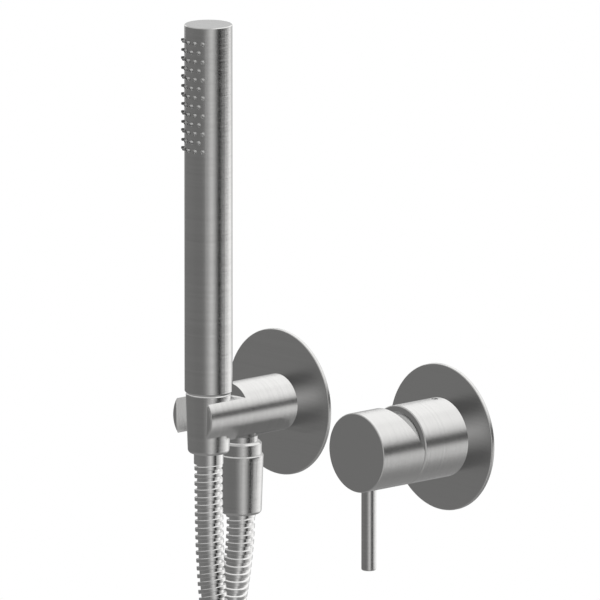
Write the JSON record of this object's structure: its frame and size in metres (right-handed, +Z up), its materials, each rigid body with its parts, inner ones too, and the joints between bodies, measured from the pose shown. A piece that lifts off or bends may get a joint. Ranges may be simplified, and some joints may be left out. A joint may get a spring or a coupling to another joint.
{
  "type": "bath mixer with hand shower",
  "caption": "Wall mixer with a round knob and pin lever, and a separate wall outlet with a fork that holds a stick hand shower on a metal hose.",
  "frame": {"origin": "on the wall face, at the axis of the mixer", "axes": "+X right along the wall, +Y into the wall, +Z up"},
  "size_m": [0.2497, 0.086, 0.536],
  "materials": {
    "steel": "brushed stainless steel",
    "hose": "interlocked stainless steel strip",
    "screw_steel": "plain stainless steel",
    "brass": "turned",
    "rubber": "matt",
    "nozzle": "soft grey silicone",
    "plastic": "moulded",
    "ceramic": "polished ceramic"
  },
  "bodies": {
    "fixed": {"mixer_wall_plate": "steel", "holder_wall_plate": "steel", "mixer_sleeve": "steel", "holder_arm": "steel", "shower_tube": "steel", "upper_hose_nut": "steel", "lower_hose_nut": "steel", "outlet_nipple": "steel", "hose_front_leg": "hose", "hose_back_leg": "hose", "hose_coil": "hose", "upper_ferrule": "hose", "lower_ferrule": "hose", "sleeve_grub_screw": "screw_steel", "check_valve_spring": "screw_steel", "valve_body": "brass", "wall_nipple": "brass", "shower_end_fitting": "brass", "mixer_plate_seal": "rubber", "holder_plate_seal": "rubber", "port_seals": "rubber", "upper_hose_gasket": "rubber", "lower_hose_gasket": "rubber", "hose_tie": "rubber", "nozzle_strip": "nozzle", "dome_nut": "plastic", "cartridge_shell": "plastic", "cartridge_base": "plastic", "check_valve_body": "plastic", "fixed_disc": "ceramic"},
    "turret": {"turret": "plastic", "pivot_pin": "screw_steel"},
    "lever": {"stem": "screw_steel", "knob": "steel", "pin_lever": "steel", "knob_grub_screw": "screw_steel"},
    "discs": {"moving_disc": "ceramic", "disc_carrier": "plastic"},
    "poppet": {"check_valve_poppet": "plastic"}
  },
  "joints": [
    {"name": "temperature_turn", "type": "hinge", "parent": "fixed", "child": "turret", "pos_m": [0, 0, 0], "axis": [0, 1, 0], "range_deg": [-50, 50]},
    {"name": "flow_tilt", "type": "hinge", "parent": "turret", "child": "lever", "pos_m": [0, -0.026, 0], "axis": [-1, 0, 0], "range_deg": [0, 22]},
    {"name": "disc_slide", "type": "slide", "parent": "turret", "child": "discs", "axis": [0, 0, -1], "range_m": [0, 0.003]},
    {"name": "check_valve_lift", "type": "slide", "parent": "fixed", "child": "poppet", "axis": [0, 0, -1], "range_m": [0, 0.0025], "stiffness_N_per_m": 80, "springref_m": -0.002, "deforming": ["check_valve_spring"]}
  ],
  "couplings": [
    {"joint": "disc_slide", "follows": "flow_tilt", "m_per_rad": 0.0076}
  ]
}
